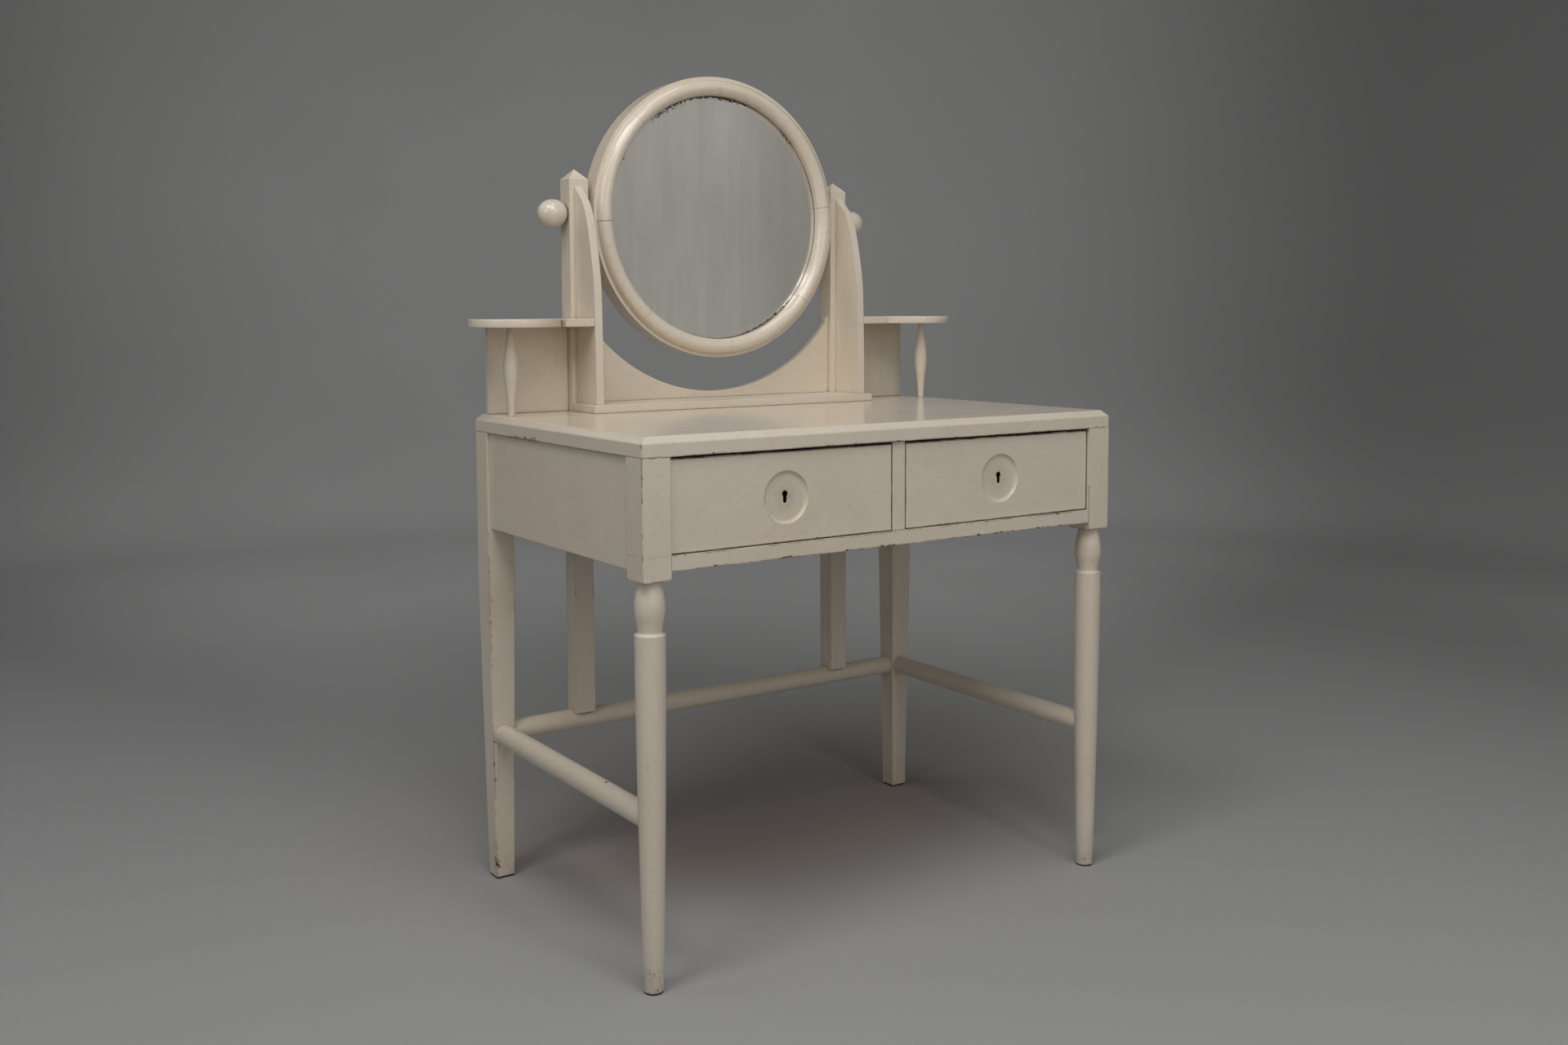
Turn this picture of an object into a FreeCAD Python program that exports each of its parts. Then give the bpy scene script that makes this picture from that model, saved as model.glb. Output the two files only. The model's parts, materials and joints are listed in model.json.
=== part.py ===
import FreeCAD, Part
import math
import os

V = FreeCAD.Vector
os.makedirs("parts", exist_ok=True)

# ---------------------------------------------------------------- dimensions
# X runs left to right seen from the front, -Y is the front, Z is up, floor z=0
TOP_W = 864.0          # table top, left to right
TOP_D = 554.0          # table top, front to back
TOP_Z = 760.0          # upper face of the table top
TOP_T = 28.0           # thickness of the table top
TOP_CH = 9.0           # bevel on the upper edge
LEG = 44.0             # square of the leg blocks
BLOCK_Z = 567.0        # lower end of the front leg blocks
FOOT = 3.0             # pads under the feet
BACK_TAPER_Z = 480.0   # back legs taper below this height
BACK_FOOT = 31.0       # square of the back feet
APRON_Z = 578.0        # lower edge of the aprons
APRON_T = 20.0
APRON_IN = 5.0         # aprons stand back from the leg faces
BACK_T = 18.0          # thickness of the back apron
BACK_Y = 252.0         # inner face of the back apron
RAIL_Z0, RAIL_Z1 = 579.0, 600.0
RAIL_D = 60.0
DIV_W = 24.0           # upright between the drawers
FACE_IN = 5.0          # drawer faces stand back from the rail
STR_R = 16.5           # round stretchers
STR_Z = 240.0
TENON = 20.0

POST_X0, POST_X1 = 245.0, 279.0
POST_Y0, POST_Y1 = 236.0, 270.0
POST_ZB = 252.8        # lower end, saddled on the back stretcher
POST_ZT = 1139.0       # foot of the pyramid
POST_TIP = 1156.0
FIN_X0, FIN_X1 = 256.5, 270.0
PLINTH_Y0 = 155.0
PLINTH_Y1 = 262.0
PLINTH_T = 13.0
PANEL_Y0, PANEL_T = 244.0, 14.0
ARC_Z, ARC_R = 1089.0, 305.0
HORN_Z = 912.0
SHELF_Z, SHELF_T = 899.0, 13.0
SHELF_Y0 = 168.0       # straight front beside the bracket
SHELF_X1 = 321.0
SHELF_STEP = 16.0
LOBE_X, LOBE_Y, LOBE_R = 403.0, 193.0, 67.5
SBACK_X1 = 420.0
SBACK_Y0, SBACK_T = 249.5, 11.0
SPIN_X, SPIN_Y = 412.0, 179.0

PIV_Y, PIV_Z = 253.0, 1083.0
RING_R, RING_RI = 240.0, 208.0
RING_RC = 221.2        # radius of the bead's crest
RING_RB = 234.5        # bead meets the ledge
RING_Y0 = 213.0        # crest of the bead
RING_YL = 226.5        # ledge outside the bead
RING_Y1 = 263.0        # back of the ring
RING_JOINTS = (6.5, 46.3, 90.3, 135.4, 183.0, 228.4, 274.8, 320.7)   # glue joints, degrees
REBATE_R = 215.0
GLASS_R = 214.0
GLASS_Y, GLASS_T = 233.4, 4.0
BOARD_T = 5.0
SHANK_R = 4.0
HOLE_R = 4.07
BALL_A, BALL_R = 25.2, 23.2     # half length along the pivot, radius across it
BALL_X = 302.0

DR_X0, DR_X1 = 13.0, 387.0      # drawer front, from the middle outwards
DR_Z0, DR_Z1 = 601.0, 729.3
DR_FT = 22.0                    # drawer front thickness
DR_ST = 11.0                    # drawer side thickness
DR_BACK_Y = 205.0
DISH_R, DISH_DEPTH, DISH_Z = 37.5, 4.2, 664.0

HW, HD = TOP_W / 2.0, TOP_D / 2.0
SLAB_B = TOP_Z - TOP_T
FACE_Y = -HD + FACE_IN
LEG_C = (HW - LEG / 2.0, HD - LEG / 2.0)


# ---------------------------------------------------------------- helpers
def box(x0, x1, y0, y1, z0, z1):
    return Part.makeBox(x1 - x0, y1 - y0, z1 - z0, V(x0, y0, z0))


def cyl(p, d, r, h):
    return Part.makeCylinder(r, h, V(*p), V(*d))


def prism(points, direction):
    wire = Part.makePolygon([V(*p) for p in points] + [V(*points[0])])
    return Part.Face(wire).extrude(V(*direction))


def flip(shape):
    return shape.mirror(V(0, 0, 0), V(1, 0, 0))


def solids(shape):
    out = []
    for s in shape.Solids:
        s = s.copy()
        if s.Volume < 0:
            s.reverse()
        out.append(s)
    return out


def save(node, *shapes):
    parts = []
    for sh in shapes:
        parts.extend(solids(sh))
    comp = parts[0] if len(parts) == 1 else Part.makeCompound(parts)
    comp.exportStep("parts/%s.step" % node)


def spline(points):
    c = Part.BSplineCurve()
    c.interpolate([V(*p) for p in points])
    return c.toShape()


def turned(axis_xy, profile_edges):
    wire = Part.Wire(profile_edges)
    solid = Part.Face(wire).revolve(V(0, 0, 0), V(0, 0, 1), 360)
    solid.translate(V(axis_xy[0], axis_xy[1], 0))
    return solid


def line(a, b):
    return Part.makeLine(V(*a), V(*b))


# ---------------------------------------------------------------- table top
top = box(-HW, HW, -HD, HD, SLAB_B, TOP_Z)
upper = [e for e in top.Edges
         if abs(e.BoundBox.ZMin - TOP_Z) < 1e-6 and abs(e.BoundBox.ZMax - TOP_Z) < 1e-6]
top = top.makeChamfer(TOP_CH, upper)
for s in (-1, 1):
    xa, xb = sorted((s * POST_X0, s * POST_X1))
    top = top.cut(box(xa, xb, POST_Y0, HD + 1, SLAB_B - 1, TOP_Z + 1))
    xc = s * (DR_X0 + DR_X1) / 2.0
    top = top.cut(box(xc - 11, xc + 11, FACE_Y + 22.5, FACE_Y + 31.5, SLAB_B - 1, SLAB_B + 10))


# ---------------------------------------------------------------- legs (right side built, left mirrored)
def front_leg_blank():
    cx, cy = LEG_C[0], -LEG_C[1]
    block = box(HW - LEG, HW, -HD, -HD + LEG, BLOCK_Z, SLAB_B)
    vase = [(17.0, 0, BLOCK_Z + 2), (17.0, 0, 560.0), (18.2, 0, 553.5), (20.4, 0, 543.5),
            (21.5, 0, 532.5), (21.3, 0, 524.0), (19.6, 0, 514.0), (17.6, 0, 504.0), (16.9, 0, 498.5)]
    shaft = [(21.4, 0, 493.5), (21.1, 0, 430.0), (20.3, 0, 355.0), (18.8, 0, 244.0),
             (16.7, 0, 132.0), (14.2, 0, 20.0), (13.6, 0, FOOT)]
    edges = [
        line((0, 0, BLOCK_Z + 2), vase[0]),
        spline(vase),
        Part.Arc(V(16.9, 0, 498.5), V(17.6, 0, 495.9), V(19.4, 0, 494.6)).toShape(),
        line((19.4, 0, 494.6), (20.8, 0, 494.2)),
        Part.Arc(V(20.8, 0, 494.2), V(21.25, 0, 493.95), V(21.4, 0, 493.5)).toShape(),
        spline(shaft),
        line(shaft[-1], (0, 0, FOOT)),
        line((0, 0, FOOT), (0, 0, BLOCK_Z + 2)),
    ]
    return block.fuse(turned((cx, cy), edges)).removeSplitter()


def back_leg_blank():
    cx, cy = LEG_C
    h, f = LEG / 2.0, BACK_FOOT / 2.0
    block = box(cx - h, cx + h, cy - h, cy + h, BACK_TAPER_Z, SLAB_B)
    sq = lambda k, z: Part.makePolygon([V(cx - k, cy - k, z), V(cx + k, cy - k, z),
                                        V(cx + k, cy + k, z), V(cx - k, cy + k, z), V(cx - k, cy - k, z)])
    taper = Part.makeLoft([sq(h, BACK_TAPER_Z), sq(f, FOOT)], True, True)
    return block.fuse(taper).removeSplitter()


front_blank = front_leg_blank()
back_blank = back_leg_blank()

# side apron with stub tenons into both legs
ax1 = HW - APRON_IN
ax0 = ax1 - APRON_T
side_tenons = box(ax0 + 5, ax1 - 5, -HD + LEG - TENON, HD - LEG + TENON, APRON_Z + 14, SLAB_B - 14)
side_apron = box(ax0, ax1, -HD + LEG, HD - LEG, APRON_Z, SLAB_B).fuse(side_tenons).removeSplitter()

# front rail under the drawers, stub tenons into the front legs
rail = box(-HW + LEG, HW - LEG, -HD, -HD + RAIL_D, RAIL_Z0, RAIL_Z1)
rail = rail.cut(box(-HW, -HW + LEG, -HD - 1, -HD + LEG, 0, 800)).cut(box(HW - LEG, HW, -HD - 1, -HD + LEG, 0, 800))
rail_tenons = box(-HW + LEG - 14, HW - LEG + 14, -HD + 8, -HD + 20, RAIL_Z0 + 4, RAIL_Z1 - 4)
rail = rail.fuse(rail_tenons).removeSplitter()

# back apron, stub tenons into the back legs
back_tenons = box(-HW + LEG - 14, HW - LEG + 14, BACK_Y + 5, BACK_Y + BACK_T - 5, APRON_Z + 14, SLAB_B - 14)
back_apron = box(-HW + LEG, HW - LEG, BACK_Y, BACK_Y + BACK_T, APRON_Z, SLAB_B).fuse(back_tenons).removeSplitter()

# round stretchers with shouldered round tenons
lx, ly = LEG_C
side_str = cyl((lx, -ly, STR_Z), (0, 1, 0), STR_R, 2 * ly).cut(front_blank).cut(back_blank)
side_str = max(side_str.Solids, key=lambda s: s.Volume)
side_pin = cyl((lx, -ly - 2, STR_Z), (0, 1, 0), 8.0, ly + 2 + ly - 10)
side_str = side_str.fuse(side_pin).removeSplitter()
back_str = cyl((-lx, ly, STR_Z), (1, 0, 0), STR_R, 2 * lx).cut(back_blank).cut(flip(back_blank))
back_str = max(back_str.Solids, key=lambda s: s.Volume)
back_pin = cyl((-lx - 2, ly, STR_Z), (1, 0, 0), 8.0, 2 * lx + 4)
back_str = back_str.fuse(back_pin).removeSplitter()

front_leg = front_blank.cut(side_tenons).cut(rail_tenons).cut(side_pin)
back_leg = back_blank.cut(side_tenons).cut(back_tenons).cut(side_pin).cut(back_pin)

# ---------------------------------------------------------------- mirror posts
px, py = (POST_X0 + POST_X1) / 2.0, (POST_Y0 + POST_Y1) / 2.0
post = box(POST_X0, POST_X1, POST_Y0, POST_Y1, POST_ZB, POST_ZT)
post = post.cut(cyl((0, ly, STR_Z), (1, 0, 0), STR_R, 400))
post_pin = cyl((px, ly, STR_Z - 2), (0, 0, 1), 6.0, 22)
post = post.fuse(post_pin)
base = [V(POST_X0, POST_Y0, POST_ZT), V(POST_X1, POST_Y0, POST_ZT), V(POST_X1, POST_Y1, POST_ZT), V(POST_X0, POST_Y1, POST_ZT)]
tip = V(px, py, POST_TIP)
faces = [Part.Face(Part.makePolygon(base + [base[0]]))]
for i in range(4):
    a, b = base[i], base[(i + 1) % 4]
    faces.append(Part.Face(Part.makePolygon([a, b, tip, a])))
pyramid = Part.makeSolid(Part.makeShell(faces))
if pyramid.Volume < 0:
    pyramid.reverse()
post = post.fuse(pyramid).removeSplitter()
post = post.cut(box(POST_X0 - 1, POST_X1 + 1, BACK_Y, POST_Y1 + 1, APRON_Z, SLAB_B))
post = post.cut(cyl((POST_X0 - 1, PIV_Y, PIV_Z), (1, 0, 0), HOLE_R, 40))
back_str = back_str.cut(post_pin).cut(flip(post_pin))

# wood screws through the back apron into each post
screws = []
for s in (-1, 1):
    for z in (620.0, 692.0):
        y = BACK_Y + BACK_T
        screw = cyl((s * px, y - 2.5, z), (0, 1, 0), 4.5, 2.5)
        screw = screw.fuse(cyl((s * px, y - 28, z), (0, 1, 0), 2.0, 26)).removeSplitter()
        screw = screw.cut(box(s * px - 5, s * px + 5, y - 0.9, y + 1, z - 0.5, z + 0.5))
        hole = cyl((s * px, y - 2.5, z), (0, 1, 0), 4.5, 3.0).fuse(cyl((s * px, y - 28, z), (0, 1, 0), 2.0, 26))
        back_apron = back_apron.cut(hole)
        if s > 0:
            post = post.cut(hole)
        screws.append(screw)

# ---------------------------------------------------------------- brackets, plinth, arched panel
fin_curve = [(0, 236.0, 1128.0), (0, 223.5, 1115.0), (0, 208.5, 1100.5), (0, 198.0, 1083.5), (0, 191.0, 1064.0),
             (0, 182.5, 1031.0), (0, 176.0, 1001.0), (0, 171.5, 971.0), (0, 169.3, 938.0), (0, 168.2, 900.0),
             (0, 167.2, 850.0), (0, 166.2, TOP_Z + PLINTH_T)]
fin_edges = [spline(fin_curve),
             line(fin_curve[-1], (0, POST_Y0, TOP_Z + PLINTH_T)),
             line((0, POST_Y0, TOP_Z + PLINTH_T), fin_curve[0])]
fin = Part.Face(Part.Wire(fin_edges)).extrude(V(FIN_X1 - FIN_X0, 0, 0))
fin.translate(V(FIN_X0, 0, 0))

plinth = box(-POST_X1, POST_X1, PLINTH_Y0, POST_Y0, TOP_Z, TOP_Z + PLINTH_T)
plinth = plinth.fuse(box(-POST_X0, POST_X0, POST_Y0 - 5, PLINTH_Y1, TOP_Z, TOP_Z + PLINTH_T)).removeSplitter()

pz = TOP_Z + PLINTH_T
hx = 239.0
hz = ARC_Z - math.sqrt(ARC_R ** 2 - hx ** 2)
y0 = PANEL_Y0
arc_edges = [
    line((-POST_X0, y0, pz), (POST_X0, y0, pz)),
    line((POST_X0, y0, pz), (POST_X0, y0, HORN_Z)),
    Part.Arc(V(POST_X0, y0, HORN_Z), V(POST_X0 - 3.6, y0, HORN_Z - 3.0), V(hx, y0, hz)).toShape(),
    Part.Arc(V(hx, y0, hz), V(0, y0, ARC_Z - ARC_R), V(-hx, y0, hz)).toShape(),
    Part.Arc(V(-hx, y0, hz), V(-POST_X0 + 3.6, y0, HORN_Z - 3.0), V(-POST_X0, y0, HORN_Z)).toShape(),
    line((-POST_X0, y0, HORN_Z), (-POST_X0, y0, pz)),
]
arch = Part.Face(Part.Wire(arc_edges)).extrude(V(0, PANEL_T, 0))

# ---------------------------------------------------------------- side shelves
fx = FIN_X1
P = (SHELF_X1, SHELF_Y0 + SHELF_STEP)
dx, dy = P[0] - LOBE_X, P[1] - LOBE_Y
dist = math.hypot(dx, dy)
ang = math.atan2(dy, dx) + math.acos(LOBE_R / dist)
T1 = (LOBE_X + LOBE_R * math.cos(ang), LOBE_Y + LOBE_R * math.sin(ang))
yb = LOBE_Y + LOBE_R
z = SHELF_Z
shelf_edges = [
    line((fx, SHELF_Y0, z), (SHELF_X1, SHELF_Y0, z)),
    line((SHELF_X1, SHELF_Y0, z), (P[0], P[1], z)),
    line((P[0], P[1], z), (T1[0], T1[1], z)),
    Part.Arc(V(T1[0], T1[1], z), V(LOBE_X + LOBE_R, LOBE_Y, z), V(LOBE_X, yb, z)).toShape(),
    line((LOBE_X, yb, z), (POST_X1, yb, z)),
    line((POST_X1, yb, z), (POST_X1, POST_Y0, z)),
    line((POST_X1, POST_Y0, z), (fx, POST_Y0, z)),
    line((fx, POST_Y0, z), (fx, SHELF_Y0, z)),
]
shelf = Part.Face(Part.Wire(shelf_edges)).extrude(V(0, 0, SHELF_T))
shelf_back = box(POST_X1, SBACK_X1, SBACK_Y0, SBACK_Y0 + SBACK_T, TOP_Z, SHELF_Z)

sp = [(5.4, 0, TOP_Z), (6.0, 0, TOP_Z + 14), (8.0, 0, TOP_Z + 38), (10.8, 0, TOP_Z + 61), (11.6, 0, TOP_Z + 74),
      (10.9, 0, TOP_Z + 88), (8.0, 0, TOP_Z + 110), (5.6, 0, TOP_Z + 128), (4.7, 0, SHELF_Z)]
spin_edges = [line((0, 0, TOP_Z), sp[0]), spline(sp), line(sp[-1], (0, 0, SHELF_Z)), line((0, 0, SHELF_Z), (0, 0, TOP_Z))]
spindle = turned((SPIN_X, SPIN_Y), spin_edges)

# ---------------------------------------------------------------- carcass inside
divider = box(-DIV_W / 2, DIV_W / 2, FACE_Y, -HD + RAIL_D, RAIL_Z1, SLAB_B)
run_x0 = 366.0
runner = box(run_x0, ax0, -HD + RAIL_D, HD - LEG, RAIL_Z0, RAIL_Z1)
runner = runner.fuse(box(HW - LEG, ax0, -HD + RAIL_D, HD - LEG, RAIL_Z1 - 5, RAIL_Z1 + 22)).removeSplitter()
mid_runner = box(-32, 32, -HD + RAIL_D, BACK_Y, RAIL_Z0, RAIL_Z1)
mid_runner = mid_runner.fuse(box(-DIV_W / 2, DIV_W / 2, -HD + RAIL_D, BACK_Y, RAIL_Z1 - 5, RAIL_Z1 + 22)).removeSplitter()

blocks = []
for s in (-1, 1):
    for y in (-170.0, 0.0, 170.0):
        tri = [(s * ax0, y - 30, SLAB_B), (s * (ax0 - 17), y - 30, SLAB_B), (s * ax0, y - 30, SLAB_B - 17)]
        blocks.append(prism(tri, (0, 60, 0)))
for x in (-150.0, 0.0, 150.0):
    tri = [(x - 35, BACK_Y, SLAB_B), (x - 35, BACK_Y - 24, SLAB_B), (x - 35, BACK_Y, SLAB_B - 24)]
    blocks.append(prism(tri, (70, 0, 0)))

pads = []
for s in (-1, 1):
    pads.append(cyl((s * lx, -ly, 0), (0, 0, 1), 12.6, FOOT))
    pads.append(box(s * lx - 14, s * lx + 14, ly - 14, ly + 14, 0, FOOT))

# ---------------------------------------------------------------- drawers (right side built, left mirrored)
xc = (DR_X0 + DR_X1) / 2.0
fy1 = FACE_Y + DR_FT
d_front = box(DR_X0, DR_X1, FACE_Y, fy1, DR_Z0, DR_Z1)
dish_wire = Part.Wire([
    line((0, -1.0, 0), (DISH_R, -1.0, 0)),
    line((DISH_R, -1.0, 0), (DISH_R, 0, 0)),
    Part.Arc(V(DISH_R, 0, 0), V(DISH_R - 1.9, DISH_DEPTH - 1.2, 0), V(DISH_R - 5.0, DISH_DEPTH, 0)).toShape(),
    line((DISH_R - 5.0, DISH_DEPTH, 0), (0, DISH_DEPTH, 0)),
    line((0, DISH_DEPTH, 0), (0, -1.0, 0)),
])
dish = Part.Face(dish_wire).revolve(V(0, 0, 0), V(0, 1, 0), 360)
dish.translate(V(xc, FACE_Y, DISH_Z))
if dish.Volume < 0:
    dish.reverse()
KEY_R, KEY_W = 4.7, 3.1
keyhole = cyl((xc, FACE_Y - 1, DISH_Z + 4.6), (0, 1, 0), KEY_R, DR_FT + 8)
keyhole = keyhole.fuse(box(xc - KEY_W, xc + KEY_W, FACE_Y - 1, fy1 + 7, DISH_Z - 5.4, DISH_Z + 4.6))
keyhole = keyhole.fuse(cyl((xc, FACE_Y - 1, DISH_Z - 5.4), (0, 1, 0), KEY_W, DR_FT + 8)).removeSplitter()
d_front = d_front.cut(dish).cut(keyhole)

sx = [(DR_X0 + 0.6, DR_X0 + 0.6 + DR_ST), (DR_X1 - 0.6 - DR_ST, DR_X1 - 0.6)]
sz0, sz1 = 600.4, 722.0
tail_z = (620.0, 664.0, 705.0)
bot_z0, bot_z1 = 609.0, 615.0
sides = []
for (xa, xb) in sx:
    side = box(xa, xb, fy1, DR_BACK_Y, sz0, sz1)
    for tz in tail_z:
        tail = prism([(xa, fy1, tz - 9.5), (xa, fy1 - 14, tz - 12.5), (xa, fy1 - 14, tz + 12.5), (xa, fy1, tz + 9.5)],
                     (xb - xa, 0, 0))
        side = side.fuse(tail)
        d_front = d_front.cut(tail)
    side = side.removeSplitter()
    sides.append(side)
bottom = box(sx[0][1] - 4, sx[1][0] + 4, fy1 - 6, DR_BACK_Y, bot_z0, bot_z1)
sides = [s.cut(bottom) for s in sides]
d_front = d_front.cut(bottom)
d_back = box(sx[0][1], sx[1][0], DR_BACK_Y - 18, DR_BACK_Y - 7, bot_z1, 714.0)

# lock on the inner face of the drawer front
case = box(xc - 27, xc + 27, fy1, fy1 + 11, 640.0, 726.0)
channel = box(xc - 9.3, xc + 9.3, fy1 + 2.2, fy1 + 7.8, 689.0, 727.0)
lock_case = case.cut(channel)
lock_case = lock_case.cut(keyhole)
lock_case = lock_case.fuse(cyl((xc, fy1 - 9, DISH_Z + 4.6), (0, 1, 0), 1.3, 16)).removeSplitter()
bolt = box(xc - 9.0, xc + 9.0, fy1 + 2.5, fy1 + 7.5, 691.0, 728.6)
lock_screws = []
for ux, uz in ((-21, 646), (21, 646), (-21, 720), (21, 720)):
    p = (xc + ux, fy1 + 11, uz)
    head = cyl(p, (0, 1, 0), 3.2, 1.4)
    shank = cyl((p[0], fy1 - 7, p[2]), (0, 1, 0), 1.5, 18)
    head = head.cut(box(p[0] - 4, p[0] + 4, p[1] + 0.6, p[1] + 2, uz - 0.45, uz + 0.45))
    lock_case = lock_case.cut(shank)
    d_front = d_front.cut(shank)
    lock_screws.append(head.fuse(shank).removeSplitter())

# ---------------------------------------------------------------- tilting mirror
ring_wire = Part.Wire([
    Part.Arc(V(RING_RB, RING_YL, 0), V(230.6, 217.0, 0), V(RING_RC, RING_Y0, 0)).toShape(),
    Part.Arc(V(RING_RC, RING_Y0, 0), V(212.8, 215.9, 0), V(RING_RI, 223.3, 0)).toShape(),
    line((RING_RI, 223.3, 0), (RING_RI, GLASS_Y, 0)),
    line((RING_RI, GLASS_Y, 0), (REBATE_R, GLASS_Y, 0)),
    line((REBATE_R, GLASS_Y, 0), (REBATE_R, RING_Y1, 0)),
    line((REBATE_R, RING_Y1, 0), (RING_R, RING_Y1, 0)),
    line((RING_R, RING_Y1, 0), (RING_R, RING_YL, 0)),
    line((RING_R, RING_YL, 0), (RING_RB, RING_YL, 0)),
])
ring_face = Part.Face(ring_wire)
segments = []
for k in range(8):
    a0 = RING_JOINTS[k]
    span = (RING_JOINTS[(k + 1) % 8] - a0) % 360.0
    f = ring_face.copy()
    f.rotate(V(0, 0, 0), V(0, 1, 0), -a0)
    seg = f.revolve(V(0, 0, 0), V(0, 1, 0), -span)
    seg.translate(V(0, 0, PIV_Z))
    if seg.Volume < 0:
        seg.reverse()
    segments.append(seg)

inserts = []
for s in (-1, 1):
    x0 = 225.0 if s > 0 else -239.8
    body = cyl((x0, PIV_Y, PIV_Z), (1, 0, 0), 7.0, 14.8)
    seat = cyl((225.0 if s > 0 else -242.0, PIV_Y, PIV_Z), (1, 0, 0), 7.0, 17.0)
    segments = [g.cut(seat) for g in segments]
    body = body.cut(cyl((x0 - 1 if s < 0 else 227.0, PIV_Y, PIV_Z), (1, 0, 0), HOLE_R, 13.8))
    inserts.append(body)

brads = []
for k in range(8):
    a = math.radians(RING_JOINTS[k] + 22.0)
    yb2 = GLASS_Y + GLASS_T + BOARD_T + 0.9
    d = (math.cos(a), 0, math.sin(a))
    p0 = (205.0 * d[0], yb2, PIV_Z + 205.0 * d[2])
    nail = cyl(p0, d, 0.8, 18.0)
    segments = [g.cut(nail) for g in segments]
    brads.append(nail)

glass = cyl((0, GLASS_Y, PIV_Z), (0, 1, 0), GLASS_R, GLASS_T)
board = cyl((0, GLASS_Y + GLASS_T, PIV_Z), (0, 1, 0), GLASS_R, BOARD_T)

# ball knob on its pivot screw
pivot = cyl((228.0, PIV_Y, PIV_Z), (1, 0, 0), SHANK_R, BALL_X - 228.0)
seat_x = POST_X1 + 0.5
seat_a = math.acos((seat_x - BALL_X) / BALL_A)
seat_r = BALL_R * math.sin(seat_a)
ball_wire = Part.Wire([
    Part.ArcOfEllipse(Part.Ellipse(V(BALL_X, 0, 0), BALL_A, BALL_R), 0, seat_a).toShape(),
    line((seat_x, seat_r, 0), (seat_x, 0, 0)),
    line((seat_x, 0, 0), (BALL_X + BALL_A, 0, 0)),
])
ball = Part.Face(ball_wire).revolve(V(0, 0, 0), V(1, 0, 0), 360)
ball.translate(V(0, PIV_Y, PIV_Z))
ball = solids(ball)[0].cut(pivot)
washer = cyl((RING_R + 0.4, PIV_Y, PIV_Z), (1, 0, 0), 11.0, POST_X0 - RING_R - 0.4)
washer = washer.cut(cyl((RING_R, PIV_Y, PIV_Z), (1, 0, 0), HOLE_R, 10))

# ---------------------------------------------------------------- write the nodes
save("table_top", top)
for side, fn in (("right", lambda s: s), ("left", flip)):
    save("front_leg_" + side, fn(front_leg))
    save("back_leg_" + side, fn(back_leg))
    save("side_apron_" + side, fn(side_apron))
    save("side_stretcher_" + side, fn(side_str))
    save("drawer_runner_" + side, fn(runner))
    save("mirror_post_" + side, fn(post))
    save("bracket_" + side, fn(fin))
    save("shelf_" + side, fn(shelf))
    save("shelf_back_" + side, fn(shelf_back))
    save("spindle_" + side, fn(spindle))
    save("drawer_front_" + side, fn(d_front))
    save("drawer_inner_side_" + side, fn(sides[0]))
    save("drawer_outer_side_" + side, fn(sides[1]))
    save("drawer_back_" + side, fn(d_back))
    save("drawer_bottom_" + side, fn(bottom))
    save("lock_case_" + side, fn(lock_case))
    save("lock_bolt_" + side, fn(bolt))
    save("lock_screws_" + side, *[fn(s) for s in lock_screws])
    save("pivot_screw_" + side, fn(pivot))
    save("ball_knob_" + side, fn(ball))
save("front_rail", rail)
save("drawer_divider", divider)
save("drawer_runner_centre", mid_runner)
save("back_apron", back_apron)
save("back_stretcher", back_str)
save("glue_blocks", *blocks)
save("foot_pads", *pads)
save("post_screws", *screws)
save("mirror_plinth", plinth)
save("arched_panel", arch)
save("mirror_ring", *segments)
save("mirror_glass", glass)
save("mirror_backboard", board)
save("mirror_brads", *brads)
save("pivot_inserts", *inserts)
save("pivot_washers", washer, flip(washer))
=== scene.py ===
"""Cream painted dressing table with a tilting round mirror: looks, stage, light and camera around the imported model."""

import json
import math

import bpy
import bmesh
from mathutils import Matrix, Vector

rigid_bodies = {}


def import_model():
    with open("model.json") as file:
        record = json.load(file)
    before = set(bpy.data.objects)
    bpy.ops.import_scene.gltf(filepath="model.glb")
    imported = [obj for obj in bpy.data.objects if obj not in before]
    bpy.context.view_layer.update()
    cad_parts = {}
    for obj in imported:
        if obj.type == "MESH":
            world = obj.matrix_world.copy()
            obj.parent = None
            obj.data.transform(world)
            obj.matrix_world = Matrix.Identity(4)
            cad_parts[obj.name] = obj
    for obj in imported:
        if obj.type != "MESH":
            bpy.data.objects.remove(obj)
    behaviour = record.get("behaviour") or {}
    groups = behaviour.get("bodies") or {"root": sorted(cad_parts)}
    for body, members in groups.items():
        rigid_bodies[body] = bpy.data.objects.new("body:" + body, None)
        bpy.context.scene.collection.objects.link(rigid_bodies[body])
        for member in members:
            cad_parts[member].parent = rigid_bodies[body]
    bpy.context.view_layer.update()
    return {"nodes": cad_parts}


for old in list(bpy.data.objects):
    bpy.data.objects.remove(old)

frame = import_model()
nodes = frame["nodes"]
scene = bpy.context.scene

# ------------------------------------------------------------------ camera
IMG_W, IMG_H = 1920.0, 1280.0
CAM_F = 1815.529            # focal length in pixels of the 1920 px wide picture
CAM_POS = Vector((-1.357467, -1.971344, 0.926721))
CAM_YAW, CAM_PITCH, CAM_ROLL = 0.596367, 0.078034, 0.003938
CAM_ROW = 520.0             # picture row of the optical axis


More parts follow.
